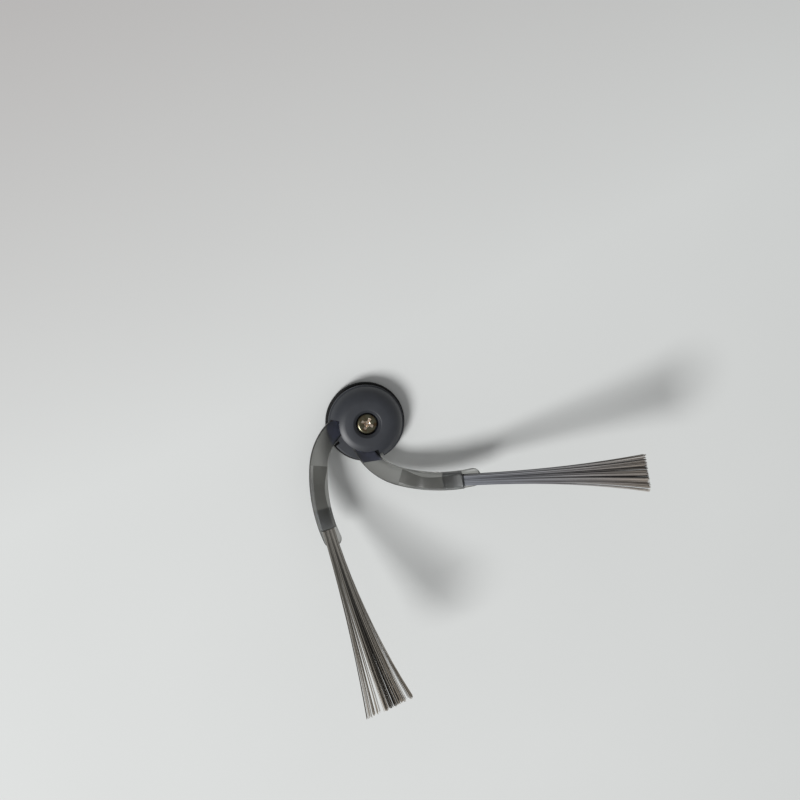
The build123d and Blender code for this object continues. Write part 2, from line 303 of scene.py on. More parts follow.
@dataclass(frozen=True)
class CorePlastic:
    """Injection-moulded PP of the rigid core: navy-black and matt, with a fine spark-eroded texture."""

    colour: str = "#485070"
    edge: str = "#51597a"
    roughness: float = 0.5
    grit_mm: float = 0.25

    def material(self) -> bpy.types.Material:
        """Build the core's material."""
        material, tree = new_material("navy_core_plastic")
        place = add_node(tree, "ShaderNodeTexCoord").outputs["Object"]
        grit = add_node(tree, "ShaderNodeTexNoise", {
            "Vector": place, "Scale": per_mm(self.grit_mm), "Detail": 4.0})
        colour = add_node(tree, "ShaderNodeMix", {
            "Factor": grit.outputs["Fac"], 6: linear(self.colour), 7: linear(self.edge)}, data_type="RGBA")
        bump = add_node(tree, "ShaderNodeBump", {
            "Height": grit.outputs["Fac"], "Strength": 0.12, "Distance": 0.03 * MM})
        shader = add_node(tree, "ShaderNodeBsdfPrincipled", {
            "Base Color": colour.outputs[2], "Roughness": self.roughness, "IOR": 1.49,
            "Normal": bump.outputs["Normal"]})
        add_node(tree, "ShaderNodeOutputMaterial", {"Surface": shader.outputs["BSDF"]})
        return material


@dataclass(frozen=True)
class PlatedSteel:
    """Zinc-plated steel of the screw: olive-bronze with turned rings, worn bright and rusty in the cross."""

    name: str
    colour: str
    stain: str
    roughness: float = 0.27
    ring_mm: float = 0.22
    stain_mm: float = 1.2

    def material(self) -> bpy.types.Material:
        """Build the screw's material."""
        material, tree = new_material(self.name)
        place = add_node(tree, "ShaderNodeTexCoord").outputs["Object"]
        blotch = add_node(tree, "ShaderNodeTexNoise", {
            "Vector": place, "Scale": per_mm(self.stain_mm), "Detail": 4.0})
        amount = add_node(tree, "ShaderNodeMapRange", {
            "Value": blotch.outputs["Fac"], "From Min": 0.45, "From Max": 0.7})
        colour = add_node(tree, "ShaderNodeMix", {
            "Factor": amount.outputs["Result"], 6: linear(self.colour), 7: linear(self.stain)}, data_type="RGBA")
        rings = add_node(tree, "ShaderNodeTexWave", {
            "Vector": place, "Scale": per_mm(self.ring_mm) / 20, "Distortion": 0.4},
            wave_type="RINGS", rings_direction="Z")
        bump = add_node(tree, "ShaderNodeBump", {
            "Height": rings.outputs["Fac"], "Strength": 0.15, "Distance": 0.02 * MM})
        shader = add_node(tree, "ShaderNodeBsdfPrincipled", {
            "Base Color": colour.outputs[2], "Metallic": 1.0, "Roughness": self.roughness,
            "Normal": bump.outputs["Normal"]})
        add_node(tree, "ShaderNodeOutputMaterial", {"Surface": shader.outputs["BSDF"]})
        return material


@dataclass(frozen=True)
class NylonFilament:
    """Extruded nylon of the bristles: grey at the root and browner to the tip, each strand its own tone, with
    painted shade in dark streaks where strands pile up.
    """

    name: str
    dark: str
    root: str
    tip: str
    roughness: float = 0.4
    specular: float = 0.25

    def material(self) -> bpy.types.Material:
        """Build the bristles' material, which reads what each strand carries."""
        material, tree = new_material(self.name)
        shade = add_node(tree, "ShaderNodeAttribute", attribute_name=Strand.SHADE.value)
        along = add_node(tree, "ShaderNodeAttribute", attribute_name=Strand.ALONG.value)
        browner = add_node(tree, "ShaderNodeMath", {0: along.outputs["Fac"], 1: 2.0}, operation="POWER")
        light = add_node(tree, "ShaderNodeMix", {
            "Factor": browner.outputs[0], 6: linear(self.root), 7: linear(self.tip)}, data_type="RGBA")
        colour = add_node(tree, "ShaderNodeMix", {
            "Factor": shade.outputs["Fac"], 6: linear(self.dark), 7: light.outputs[2]}, data_type="RGBA")
        shader = add_node(tree, "ShaderNodeBsdfPrincipled", {
            "Base Color": colour.outputs[2], "Roughness": self.roughness, "IOR": 1.53,
            "Specular IOR Level": self.specular})
        add_node(tree, "ShaderNodeOutputMaterial", {"Surface": shader.outputs["BSDF"]})
        return material


@dataclass(frozen=True)
class TableTop:
    """Pale grey laminate of the table, faintly uneven, with painted shade that dims it towards the side away from
    the light.
    """

    painted_shade_side: tuple[float, float, float]
    colour: str = "#d3d5d4"
    patch: str = "#d8dad9"
    painted_shade: str = "#b7b5b4"
    painted_shade_mm: Point = (19.0, 169.0)
    patch_mm: float = 90.0

    def material(self) -> bpy.types.Material:
        """Build the table's material."""
        material, tree = new_material("pale_laminate")
        place = add_node(tree, "ShaderNodeTexCoord").outputs["Object"]
        cloud = add_node(tree, "ShaderNodeTexNoise", {"Vector": place, "Scale": per_mm(self.patch_mm)})
        colour = add_node(tree, "ShaderNodeMix", {
            "Factor": cloud.outputs["Fac"], 6: linear(self.colour), 7: linear(self.patch)}, data_type="RGBA")
        # Painted shade: the colour dims towards the side away from the lamp, in place of the light's fall-off.
        away = add_node(tree, "ShaderNodeVectorMath", {0: place, 1: self.painted_shade_side}, operation="DOT_PRODUCT")
        painted_shade_amount = add_node(tree, "ShaderNodeMapRange", {
            "Value": away.outputs["Value"], "From Min": self.painted_shade_mm[0] * MM, "From Max": self.painted_shade_mm[1] * MM})
        painted_shade_colour = add_node(tree, "ShaderNodeMix", {
            "Factor": painted_shade_amount.outputs["Result"], 6: colour.outputs[2], 7: linear(self.painted_shade)}, data_type="RGBA")
        shader = add_node(tree, "ShaderNodeBsdfPrincipled", {
            "Base Color": painted_shade_colour.outputs[2], "Roughness": 0.7, "IOR": 1.45})
        add_node(tree, "ShaderNodeOutputMaterial", {"Surface": shader.outputs["BSDF"]})
        return material


class Strand(Enum):
    """Attributes that the bristle tree writes on its strands."""

    NUMBER = "strand"
    SHADE = "shade"
    ALONG = "along"


class Span(Enum):
    """Kinds of outline that the hub has round its rim."""

    DOME = "dome"
    NECK = "neck"
    DOME_SLIT = "dome_slit"
    NECK_SLIT = "neck_slit"


@dataclass
class Arm:
    """Curved strap that rises from the hub and swells into the block that holds a tuft, in millimetres."""

    name: str
    turn_deg: float
    width: float = 5.6
    step_radius: float = 19.8
    step_angle_deg: float = -50.5
    step_heading_deg: float = -6.0
    step_height: float = 5.75
    slope: float = 0.19
    curl_radius: float = 143.0
    root_bend: float = 18.0
    tip_bend: float = 44.0
    ribbon_length: float = 16.5
    ribbon_thickness: float = 2.4
    edge_round: float = 0.4
    edge_slant: float = 0.25
    step_rise: float = 0.5
    block_length: float = 19.2
    shoulder_length: float = 7.0
    crest_height: float = 5.0
    mouth_height: float = 3.9
    block_margin: float = 1.1
    block_slant: float = 1.2
    mouth_slant: float = 0.5
    slant_steepness: float = 1.2
    lip_thickness: float = 1.3
    lip_length: float = 5.7
    lobe_round: float = 1.9
    heel_round: float = 2.4
    mouth_round: float = 0.5
    # Painted shade lines along the edges: their strength inside the bend, on the outer side wall, and their width.
    painted_inner_edge_shade: float = 0.4
    painted_side_shade: float = 0.35
    side_height: float = 0.6
    painted_edge_shade_width: float = 0.5
    block_shade: float = 0.5
    # Partly painted light: the block's tint eases lighter towards the mouth, over the welded root.
    mouth_shade: float = 0.39
    mouth_shade_length: float = 6.0
    face_stops: Point = (0.35, 0.75)
    top_slack: float = 0.05
    ribbon_steps: int = 24
    block_steps: int = 32
    mouth_steps: int = 5
    lip_steps: int = 15

    def centre(self, s: float) -> tuple[float, float, float]:
        """Follow the arm's centre line.

        Args:
            s: Distance beyond the step; negative is towards the hub.

        Returns:
            Plan position and heading in radians.
        """
        angle = math.radians(self.step_angle_deg + self.turn_deg)
        heading = math.radians(self.step_heading_deg + self.turn_deg)
        bend = self.root_bend if s < 0 else self.tip_bend
        turned = heading + s / bend
        x = self.step_radius * math.cos(angle) + bend * (math.sin(turned) - math.sin(heading))
        y = self.step_radius * math.sin(angle) - bend * (math.cos(turned) - math.cos(heading))
        return x, y, turned

    def floor(self, s: float) -> float:
        """Height of the arm's underside at a distance beyond the step."""
        return self.step_height + self.slope * s + s * s / (2 * self.curl_radius)

    def place(self, s: float, across: float, up: float) -> Vector:
        """Put a point of a cross-section in the brush's axes, with across to the outside of the bend."""
        x, y, heading = self.centre(s)
        return Vector((x + across * math.sin(heading), y - across * math.cos(heading), self.floor(s) + up))

    def ring(self, s: float, height: float, margin: Point, slant: float, sides: Point,
             fill: float = 0.0, end: float = math.inf) -> Ring:
        """Make one cross-section.

        Args:
            s: Distance beyond the step.
            height: Height of the section.
            margin: Width of the margin outside the bend, and the height of its edge.
            slant: Width of the slanted face inside the bend.
            sides: Half-width inside and outside the bend.
            fill: Tone of the top between the margin and the slant.
            end: Distance to the end of the arm.

        Returns:
            Points of the section in the brush's axes, with the tone of each.
        """
        inside, outside = sides
        foot = height - self.slant_steepness * slant
        corners = [
            (-inside, 0.0, self.edge_round),
            (outside, 0.0, self.edge_round),
            (outside, self.side_height * margin[1], 0.0),
            (outside, margin[1], self.edge_round),
            *[(outside - t * margin[0], margin[1] + t * (height - margin[1]), 0.0) for t in self.face_stops],
            (outside - margin[0], height, self.edge_round),
            (slant - inside, height, self.edge_round),
            *[(t * slant - inside, foot + t * (height - foot), 0.0) for t in self.face_stops[::-1]],
            (-inside, foot, self.edge_round),
        ]
        ring = []
        for across, up in rounded(corners):
            # Painted shade lines along the outer and inner edges, weaker on the outer side wall.
            painted_outer_line = 1 - ease(min(outside - across, end) / self.painted_edge_shade_width)
            if up <= self.side_height * margin[1]:
                painted_outer_line *= self.painted_side_shade
            painted_inner_line = 1 - ease((across + inside) / self.painted_edge_shade_width)
            left, right = slant - inside - self.top_slack, outside - margin[0] + self.top_slack
            on_top = left < across < right and up > margin[1]
            tone = max(painted_outer_line, self.painted_inner_edge_shade * painted_inner_line, fill if on_top else 0.0)
            ring.append((self.place(s, across, up), tone))
        return ring

    def strap_ring(self, s: float, thickness: float, sides: Point) -> Ring:
        """Flat cross-section with eased edges."""
        margin = (self.edge_slant, thickness - self.edge_slant)
        end = self.block_length + self.lip_length - s
        return self.ring(s, thickness, margin, self.edge_slant, sides, end=end)

    def block_ring(self, s: float, drop: float = 0.0) -> Ring:
        """Cross-section of the block.

        Args:
            s: Distance beyond the step.
            drop: How far the top is eased down, near the mouth.

        Returns:
            Points of the section in the brush's axes.
        """
        swell = ease(s / self.shoulder_length)
        sink = ease((s - self.shoulder_length) / (self.block_length - self.shoulder_length))
        foot = self.ribbon_thickness + self.step_rise
        height = foot + (self.crest_height - foot) * swell - (self.crest_height - self.mouth_height) * sink
        slant = self.edge_slant + (self.block_slant - self.edge_slant) * swell
        slant -= (self.block_slant - self.mouth_slant) * sink
        margin = (self.block_margin, self.ribbon_thickness - self.edge_slant)
        # Partly painted light: the fill eases lighter over the welded root near the mouth.
        near = ease(1 - (self.block_length - s) / self.mouth_shade_length)
        fill = self.block_shade + (self.mouth_shade - self.block_shade) * near
        return self.ring(s, height - drop, margin, slant, (self.width / 2, self.width / 2), fill)

    def lip_ring(self, s: float) -> Ring:
        """Cross-section of the rounded tongue that runs on under the bristles."""
        left = self.block_length + self.lip_length - s
        sides = []
        for radius in (self.lobe_round, self.heel_round):
            short = max(0.0, radius - left)
            sides.append(self.width / 2 - radius + math.sqrt(max(radius ** 2 - short ** 2, 0.0)))
        return self.strap_ring(s, self.lip_thickness, (sides[0], sides[1]))

    def build(self) -> bpy.types.Object:
        """Build the arm from its root in the hub to the end of its lip.

        Returns:
            The arm's object.
        """
        half = self.width / 2
        stations = [-self.ribbon_length * (1 - i / self.ribbon_steps) for i in range(self.ribbon_steps + 1)]
        rings = [self.strap_ring(s, self.ribbon_thickness, (half, half)) for s in stations]
        mouth = self.block_length - self.mouth_round
        rings += [self.block_ring(mouth * i / self.block_steps) for i in range(self.block_steps + 1)]
        for i in range(1, self.mouth_steps + 1):
            turn = math.pi / 2 * i / self.mouth_steps
            rings.append(self.block_ring(mouth + self.mouth_round * math.sin(turn),
                                         self.mouth_round * (1 - math.cos(turn))))
        for i in range(self.lip_steps + 1):
            turn = math.pi / 2 * i / self.lip_steps
            rings.append(self.lip_ring(self.block_length + self.lip_length * math.sin(turn)))
        return ring_mesh(self.name, rings, closed=False, smooth_deg=35)


@dataclass
class Hub:
    """Turned outside of the hub with its stepped neck and slits, in millimetres."""

    lip_radius: float = 12.5
    lip_overhang: float = 1.0
    lip_top: float = 2.5
    lip_round: float = 0.5
    groove_radius: float = 11.4
    groove_top: float = 4.0
    upper_lip_radius: float = 11.85
    upper_lip_top: float = 5.1
    upper_lip_round: float = 0.45
    dome_foot: float = 11.5
    dome_height: float = 9.2
    crown_radius: float = 6.8
    shoulder_radius: float = 5.8
    recess_radius: float = 3.5
    recess_floor: float = 6.2
    recess_chamfer: float = 0.9
    foot_radius: float = 11.5
    foot_inside: float = 9.8
    back_recess: float = 1.6
    boss_radius: float = 6.5
    neck_radius: float = 8.7
    neck_floor: float = 4.7
    neck_start_deg: float = -138.0
    neck_end_deg: float = -18.0
    slit_floor_radius: float = 10.4
    slit_deg: float = 5.5
    arm_spacing_deg: float = 81.0
    shoulder_steps: int = 14
    columns: int = 240

    def shoulder(self, upto: float) -> list[Point]:
        """Points down the dome's round shoulder.

        Args:
            upto: Radius at which the shoulder stops.

        Returns:
            Radius and height of each point.
        """
        start = Vector((self.crown_radius, self.dome_height))
        end = Vector((self.dome_foot, self.upper_lip_top))
        chord = end - start
        depth = math.sqrt(self.shoulder_radius ** 2 - (chord.length / 2) ** 2)
        centre = (start + end) / 2 + Vector((chord.y, -chord.x)).normalized() * depth
        points = []
        for i in range(self.shoulder_steps + 1):
            turn = math.pi / 2 * i / self.shoulder_steps
            radius = self.crown_radius + (upto - self.crown_radius) * math.sin(turn)
            rise = math.sqrt(max(self.shoulder_radius ** 2 - (radius - centre.x) ** 2, 0.0))
            points.append((radius, centre.y + rise))
        return points

    def outline(self, span: Span) -> list[Point]:
        """Outline of the hub from the spin axis outwards, for one kind of span.

        Args:
            span: Which part of the rim the outline is for.

        Returns:
            Radius and height of each point, the same number for every span.
        """
        neck = span in (Span.NECK, Span.NECK_SLIT)
        shoulder = self.shoulder(self.neck_radius if neck else self.dome_foot)
        if neck:
            rim = [(*shoulder[-1], 0.25), (self.neck_radius, self.neck_floor, 0.2),
                   (self.upper_lip_radius, self.neck_floor, self.upper_lip_round)]
        else:
            rim = [(*shoulder[-1], 0.1), (self.dome_foot + 0.05, self.upper_lip_top, 0.1),
                   (self.upper_lip_radius, self.upper_lip_top, self.upper_lip_round)]
        corners = [
            (self.recess_radius, self.recess_floor, 0.0),
            (self.recess_radius, self.dome_height - self.recess_chamfer, 0.15),
            (self.recess_radius + self.recess_chamfer, self.dome_height, 0.3),
            *[(radius, height, 0.0) for radius, height in shoulder[:-1]],
            *rim,
            (self.upper_lip_radius, self.groove_top, 0.15),
            (self.groove_radius, self.groove_top, 0.2),
            (self.groove_radius, self.lip_top, 0.2),
            (self.lip_radius, self.lip_top, self.lip_round),
            (self.lip_radius, self.lip_overhang, 0.2),
            (self.foot_radius, 0.0, 0.2),
            (self.foot_inside, 0.0, 0.2),
            (self.foot_inside, self.back_recess, 0.3),
            (self.boss_radius, self.back_recess, 0.3),
            (self.boss_radius, 0.05, 0.2),
            (self.recess_radius + 0.9, 0.05, 0.0),
            (self.recess_radius + 0.9, self.recess_floor - 0.1, 0.0),
        ]
        points = rounded(corners)
        if span in (Span.DOME_SLIT, Span.NECK_SLIT):
            points = [(min(radius, self.slit_floor_radius), height) for radius, height in points]
        return points

    def spans(self) -> list[tuple[float, float, Span]]:
        """Kinds of outline round the hub, each from one direction to the next in degrees."""
        slit_end = self.neck_end_deg + self.slit_deg
        inner_slit = self.neck_end_deg - self.arm_spacing_deg
        return [
            (self.neck_start_deg, inner_slit, Span.NECK),
            (inner_slit, inner_slit + self.slit_deg, Span.NECK_SLIT),
            (inner_slit + self.slit_deg, self.neck_end_deg, Span.NECK),
            (self.neck_end_deg, slit_end, Span.DOME_SLIT),
            (slit_end, self.neck_start_deg + 360, Span.DOME),
        ]

    def build(self) -> bpy.types.Object:
        """Build the hub by sweeping its outlines round the spin axis.

        Returns:
            The hub's object.
        """
        rings = []
        for first, last, span in self.spans():
            outline = self.outline(span)
            steps = max(2, round(self.columns * (last - first) / 360))
            for i in range(steps + 1):
                angle = math.radians(first + (last - first) * i / steps)
                rings.append([(turned_point(radius, angle, height), 0.0) for radius, height in outline])
        return ring_mesh("soft_hub", rings, closed=True, smooth_deg=30)


@dataclass
class Screw:
    """Captive pan-head screw with a tapered cross recess, in millimetres."""

    seat: float = 6.2
    head_radius: float = 3.2
    head_height: float = 2.3
    head_edge: float = 0.45
    shank_radius: float = 1.2
    shank_end: float = 0.6
    cross_turn_deg: float = 24.0
    cross_reach: float = 1.9
    cross_width: float = 0.85
    wing_depth: float = 0.55
    wing_taper: float = 0.42
    cross_depth: float = 1.3
    cross_taper: float = 0.18
    wing_end_depth: float = 0.1
    cut_clear: float = 0.5
    axis_gap: float = 0.01
    dish_radius: float = 1.05
    dish_depth: float = 0.43
    columns: int = 72

    def turned(self) -> bpy.types.Object:
        """Build the head and shank without the recess."""
        top = self.seat + self.head_height
        outline = rounded([
            (self.axis_gap, top, 0.0), (self.head_radius * 0.85, top - 0.1, 0.8),
            (self.head_radius, top - self.head_edge, 0.3), (self.head_radius, self.seat, 0.15),
            (self.shank_radius, self.seat, 0.0), (self.shank_radius, self.shank_end, 0.3),
            (self.axis_gap, self.shank_end, 0.0)])
        rings = []
        for i in range(self.columns):
            angle = 2 * math.pi * i / self.columns
            rings.append([(turned_point(radius, angle, height), 0.0) for radius, height in outline])
        return ring_mesh("screw", rings, closed=True, smooth_deg=40)

    def cross(self) -> bpy.types.Object:
        """Build the tapered cross that the driver fits."""
        top = self.seat + self.head_height
        rings = []
        depths = ((self.cross_taper, self.cross_depth), (self.wing_taper, self.wing_depth),
                  (1.0, self.wing_end_depth), (1.1, -self.cut_clear))
        for scale, depth in depths:
            reach, half = self.cross_reach * scale, self.cross_width / 2 * (0.4 + 0.6 * scale)
            ring = []
            for quarter in range(4):
                turn = Matrix.Rotation(math.radians(self.cross_turn_deg + 90 * quarter), 3, "Z")
                corners = ((reach, -half), (reach, half), (half, half))
                ring += [(turn @ Vector((x, y, top - depth)), 0.0) for x, y in corners]
            rings.append(ring)
        return ring_mesh("cross", rings, closed=False, smooth_deg=30)

    def dish(self) -> bpy.types.Object:
        """Build the shallow cone in which the wings of the cross meet."""
        top = self.seat + self.head_height
        rings = []
        for scale in (0.02, 1.0, 1.5):
            height = top - self.dish_depth * (1 - scale)
            angles = [2 * math.pi * i / self.columns for i in range(self.columns)]
            rings.append([(turned_point(self.dish_radius * scale, angle, height), 0.0) for angle in angles])
        return ring_mesh("dish", rings, closed=False, smooth_deg=30)

    def build(self, plated: bpy.types.Material, worn: bpy.types.Material) -> bpy.types.Object:
        """Cut the cross out of the turned screw.

        Args:
            plated: Finish of the screw.
            worn: Finish of the cross recess.

        Returns:
            The screw's object.
        """
        screw = self.turned()
        screw.data.materials.append(plated)
        cutters = (self.cross(), self.dish())
        for cutter in cutters:
            cutter.data.materials.append(worn)
            cut = screw.modifiers.new(cutter.name, "BOOLEAN")
            cut.operation, cut.solver, cut.object = "DIFFERENCE", "EXACT", cutter
            cut.material_mode = "TRANSFER"
        bpy.context.view_layer.update()
        mesh = bpy.data.meshes.new_from_object(screw.evaluated_get(bpy.context.evaluated_depsgraph_get()))
        screw.modifiers.clear()
        screw.data = mesh
        mesh.set_sharp_from_angle(angle=math.radians(40))
        for cutter in cutters:
            bpy.data.objects.remove(cutter)
        return screw


@dataclass
class Tuft:
    """Fan of bristles with the welded root that its arm holds, in millimetres.

    A gap is a place across the fan, from -0.5 inside the bend to 0.5, and a width. A streak of painted
    shade, where strands pile up, has its depth at the root and at the tip too. The thin side is the place
    beyond which strands are missing, and the share of them that is left.
    """

    name: str
    arm: Arm
    seed: int
    spread: float
    lean: float
    fan_bend: float
    slant: float
    thin_side: Point
    gaps: tuple[Point, ...]
    painted_shade_streaks: tuple[PaintedShadeStreak, ...]
    clumps: float = 14.0
    clumping: float = 1.0
    strands: int = 280
    segments: int = 10
    diameter: float = 0.14
    length: float = 56.8
    length_scatter: float = 0.9
    tip_depth: float = 3.0
    stray: float = 0.06
    root_width: float = 3.6
    root_depth: float = 1.2
    plug_width: float = 3.5
    plug_thickness: float = 1.6
    plug_depth: float = 6.4
    plug_lift: float = 2.4
    heading_deg: float = 15.0
    rise_deg: float = 26.0

    def axes(self) -> Matrix:
        """Place of the socket's mouth: x across the tuft, z along the bristles."""
        x, y, _ = self.arm.centre(self.arm.block_length)
        heading = math.radians(self.heading_deg + self.arm.turn_deg)
        rise = math.radians(self.rise_deg)
        across = Vector((math.sin(heading), -math.cos(heading), 0))
        along = Vector((math.cos(heading) * math.cos(rise), math.sin(heading) * math.cos(rise), math.sin(rise)))
        turn = Matrix((across, along.cross(across), along)).transposed().to_4x4()
        lift = self.arm.floor(self.arm.block_length) + self.plug_lift
        return Matrix.Translation(Vector((x, y, lift)) * MM) @ turn

    def sizes(self) -> dict[str, float]:
        """Sizes that the bristle tree takes, by the names of its inputs."""
        return {
            "Strands": self.strands, "Segments": self.segments, "Radius": self.diameter / 2 * MM,
            "Root Width": self.root_width * MM, "Root Depth": self.root_depth * MM, "Tip Slant": self.slant * MM,
            "Tip Spread": self.spread * MM, "Tip Depth": self.tip_depth * MM, "Tip Lean": self.lean * MM,
            "Thin Side": self.thin_side[0], "Thin Share": self.thin_side[1],
            "Length": self.length * MM, "Length Scatter": self.length_scatter * MM, "Fan Bend": self.fan_bend,
            "Clumps": self.clumps, "Clumping": self.clumping, "Stray": self.stray,
            "Plug Width": self.plug_width * MM, "Plug Thickness": self.plug_thickness * MM,
            "Plug Depth": self.plug_depth * MM, "Seed": self.seed,
        }

    def build(self, strand: bpy.types.Material, root: bpy.types.Material) -> bpy.types.Object:
        """Grow the bristles with a node tree and keep them as a plain mesh.

        Args:
            strand: Finish of the strands.
            root: Finish of the welded root.

        Returns:
            The tuft's object.
        """
        tree = bristle_tree(self.gaps, self.painted_shade_streaks)
        holder = bpy.data.objects.new(self.name + "_grower", bpy.data.meshes.new(self.name + "_grower"))
        bpy.context.scene.collection.objects.link(holder)
        grower = holder.modifiers.new("bristles", "NODES")
        grower.node_group = tree
        values = {**self.sizes(), "Strand Finish": strand, "Root Finish": root}
        for item in tree.interface.items_tree:
            if item.item_type == "SOCKET" and item.name in values:
                grower[item.identifier] = values[item.name]
        holder.update_tag()
        bpy.context.view_layer.update()
        grown = holder.evaluated_get(bpy.context.evaluated_depsgraph_get())
        mesh = bpy.data.meshes.new_from_object(grown)
        mesh.name = self.name
        mesh.transform(self.axes())
        mesh.shade_smooth()
        mesh.set_sharp_from_angle(angle=math.radians(50))
        holder.modifiers.remove(grower)
        bpy.data.objects.remove(holder)
        piece = bpy.data.objects.new(self.name, mesh)
        bpy.context.scene.collection.objects.link(piece)
        return piece


def bristle_tree(gaps: tuple[Point, ...], painted_shade_streaks: tuple[PaintedShadeStreak, ...]) -> bpy.types.NodeTree:
    """Build the node tree that grows a tuft: a row of strands that fan out into clumps, and their root.

    Args:
        gaps: Place and width of each gap across the fan.
        painted_shade_streaks: Place and width of each streak of painted shade where strands pile up, and its
            depth at the root and the tip.

    Returns:
        Geometry node tree with an input for each size.
    """
    tree = bpy.data.node_groups.new("bristle_tuft", "GeometryNodeTree")
    face = tree.interface
    face.new_socket("Geometry", in_out="OUTPUT", socket_type="NodeSocketGeometry")
    for name in ("Strands", "Segments", "Seed"):
        face.new_socket(name, in_out="INPUT", socket_type="NodeSocketInt")
    for name in ("Radius", "Root Width", "Root Depth", "Tip Spread", "Tip Depth", "Tip Lean", "Tip Slant",
                 "Length", "Length Scatter", "Fan Bend", "Clumps", "Clumping", "Stray", "Thin Side",
                 "Thin Share", "Plug Width", "Plug Thickness", "Plug Depth"):
        face.new_socket(name, in_out="INPUT", socket_type="NodeSocketFloat")
    for name in ("Strand Finish", "Root Finish"):
        face.new_socket(name, in_out="INPUT", socket_type="NodeSocketMaterial")
    size = add_node(tree, "NodeGroupInput").outputs

    def work(operation: str, *values) -> bpy.types.NodeSocket:
        """Result of one sum on numbers or sockets."""
        return add_node(tree, "ShaderNodeMath", dict(enumerate(values)), operation=operation).outputs[0]

    def chance(low: float, high: float, number: bpy.types.NodeSocket, salt: int) -> bpy.types.NodeSocket:
        """Number drawn once for each strand between two bounds."""
        seed = work("ADD", size["Seed"], float(salt))
        return add_node(tree, "FunctionNodeRandomValue", {
            2: low, 3: high, "ID": number, "Seed": seed}, data_type="FLOAT").outputs[1]

    index = add_node(tree, "GeometryNodeInputIndex").outputs["Index"]
    number = add_node(tree, "GeometryNodeInputNamedAttribute", {"Name": Strand.NUMBER.value}, data_type="INT")
    number = number.outputs["Attribute"]
    column = work("SUBTRACT", work("DIVIDE", work("ADD", number, 0.5), size["Strands"]), 0.5)
    points = add_node(tree, "GeometryNodePoints", {"Count": size["Strands"]})
    numbered = add_node(tree, "GeometryNodeStoreNamedAttribute", {
        "Geometry": points.outputs[0], "Name": Strand.NUMBER.value, "Value": index},
        data_type="INT", domain="POINT")
    beyond = work("GREATER_THAN", column, size["Thin Side"])
    missing = work("MULTIPLY", beyond, work("GREATER_THAN", chance(0.0, 1.0, number, 6), size["Thin Share"]))
    kept = add_node(tree, "GeometryNodeDeleteGeometry", {
        "Geometry": numbered.outputs["Geometry"], "Selection": missing}, domain="POINT")
    line = add_node(tree, "GeometryNodeCurvePrimitiveLine", {"End": (0.0, 0.0, 1.0)})
    fine = add_node(tree, "GeometryNodeResampleCurve", {
        "Curve": line.outputs["Curve"], "Count": work("ADD", size["Segments"], 1.0)})
    copies = add_node(tree, "GeometryNodeInstanceOnPoints", {
        "Points": kept.outputs["Geometry"], "Instance": fine.outputs["Curve"]})
    strands = add_node(tree, "GeometryNodeRealizeInstances", {"Geometry": copies.outputs["Instances"]})

    along = add_node(tree, "GeometryNodeSplineParameter").outputs["Factor"]
    layer = chance(-0.5, 0.5, number, 1)
    drift = add_node(tree, "ShaderNodeTexNoise", {
        "W": work("ADD", work("MULTIPLY", column, size["Clumps"]), size["Seed"]), "Scale": 1.0, "Detail": 1.0},
        noise_dimensions="1D").outputs[0]
    clump = work("DIVIDE", work("MULTIPLY", work("SUBTRACT", drift, 0.5), size["Clumping"]), size["Clumps"])
    wild = work("POWER", chance(-1.0, 1.0, number, 2), STRAY_POWER)
    tip_column = work("ADD", column, work("ADD", clump, work("MULTIPLY", wild, size["Stray"])))
    for place, width in gaps:
        off = work("SUBTRACT", column, place)
        fade = work("EXPONENT", work("MULTIPLY", work("ABSOLUTE", off), -GAP_FADE))
        push = work("MULTIPLY", work("SIGN", off), work("MULTIPLY", work("MULTIPLY", fade, along), width / 2))
        tip_column = work("ADD", tip_column, push)
    scatter = chance(-LAYER_SCATTER, LAYER_SCATTER, number, 3)
    tip_layer = work("ADD", work("MULTIPLY", layer, LAYER_KEPT), scatter)
    bend = work("POWER", along, size["Fan Bend"])
    reach = work("SUBTRACT", size["Length"], work("MULTIPLY", chance(0.0, 1.0, number, 4), size["Length Scatter"]))
    reach = work("ADD", reach, work("MULTIPLY", column, size["Tip Slant"]))
    spots = []
    across = work("ADD", work("MULTIPLY", tip_column, size["Tip Spread"]), size["Tip Lean"])
    deep = work("MULTIPLY", tip_layer, size["Tip Depth"])
    for place, narrow, tip in ((column, "Root Width", across), (layer, "Root Depth", deep)):
        root = work("MULTIPLY", place, size[narrow])
        spots.append(work("ADD", root, work("MULTIPLY", work("SUBTRACT", tip, root), bend)))
    sink = ROOT_SINK_MM * MM
    height = work("SUBTRACT", work("MULTIPLY", along, work("ADD", reach, sink)), sink)
    spot = add_node(tree, "ShaderNodeCombineXYZ", {"X": spots[0], "Y": spots[1], "Z": height})
    laid = add_node(tree, "GeometryNodeSetPosition", {
        "Geometry": strands.outputs["Geometry"], "Position": spot.outputs["Vector"]})
